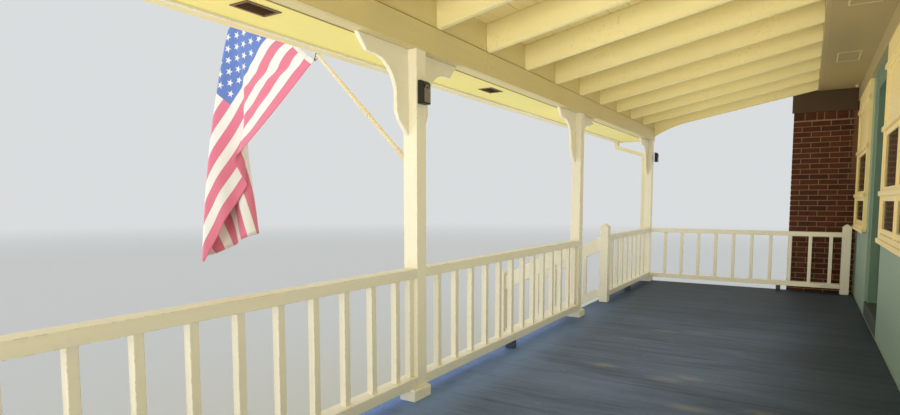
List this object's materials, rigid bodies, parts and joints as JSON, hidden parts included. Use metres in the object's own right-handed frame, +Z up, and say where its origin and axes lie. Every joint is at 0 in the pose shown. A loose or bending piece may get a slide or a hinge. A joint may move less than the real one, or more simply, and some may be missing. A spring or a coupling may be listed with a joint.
{
  "type": "front porch",
  "caption": "House front porch with a boarded deck, square posts with curved brackets, baluster railings, shed roof on open rafters, garden steps and the house wall behind it.",
  "frame": {"origin": "on the ground under the middle post, on the underside of its pier", "axes": "+X along the house wall away from the brick wing, +Y from the garden to the house, +Z up"},
  "size_m": [12.032, 4.312, 3.2842],
  "materials": {
    "cream_paint": "painted, satin",
    "beam_paint": "painted, satin",
    "rafter_paint": "painted, satin",
    "soffit_paint": "painted, satin",
    "house_soffit_paint": "painted, matt",
    "deck_paint": "painted, worn",
    "timber": "sawn",
    "siding_paint": "painted, matt",
    "window_paint": "painted, satin",
    "brown_paint": "painted, matt",
    "brick": "rough",
    "concrete": "rough",
    "dark_stone": "rough",
    "shingle": "granular",
    "gutter_metal": "painted, satin",
    "vent_metal": "painted, matt",
    "pane": "clear",
    "bracket_metal": "cast",
    "pole_wood": "varnished",
    "flag_cloth": "woven",
    "black_plastic": "moulded",
    "feet_paint": "weathered"
  },
  "bodies": {
    "root": {"deck_floor": "deck_paint", "deck_rim": "cream_paint", "deck_rim_ends": "cream_paint", "joists": "timber", "girders": "timber", "piers": "concrete", "post_far_end": "cream_paint", "post_steps": "cream_paint", "post_middle": "cream_paint", "post_near": "cream_paint", "post_near_end": "cream_paint", "post_brackets": "cream_paint", "beam": "beam_paint", "beam_facing": "beam_paint", "rafters": "rafter_paint", "rafter_blocking": "beam_paint", "end_rafters": "cream_paint", "roof_deck": "timber", "roof_covering": "shingle", "fascia": "cream_paint", "eave_soffit": "soffit_paint", "soffit_vents": "vent_metal", "gutter": "gutter_metal", "downspouts": "gutter_metal", "ledger": "beam_paint", "house_eave_soffit": "house_soffit_paint", "frieze_board": "house_soffit_paint", "house_wall": "siding_paint", "brick_return": "brick", "brick_frieze": "brown_paint", "door_frame": "siding_paint", "door": "siding_paint", "door_step": "dark_stone", "wide_windows": "window_paint", "end_windows": "window_paint", "window_glass": "pane", "railing_far": "cream_paint", "railing_steps_to_middle": "cream_paint", "railing_middle_to_near": "cream_paint", "railing_near": "cream_paint", "end_railing_far": "cream_paint", "end_railing_near": "cream_paint", "newels": "cream_paint", "railing_feet": "feet_paint", "stair_stringers": "timber", "stair_treads": "deck_paint", "stair_risers": "cream_paint", "stair_railings": "cream_paint", "flag_bracket": "bracket_metal", "flag_pole": "pole_wood", "flag": "flag_cloth", "post_light": "black_plastic"}
  },
  "joints": []
}
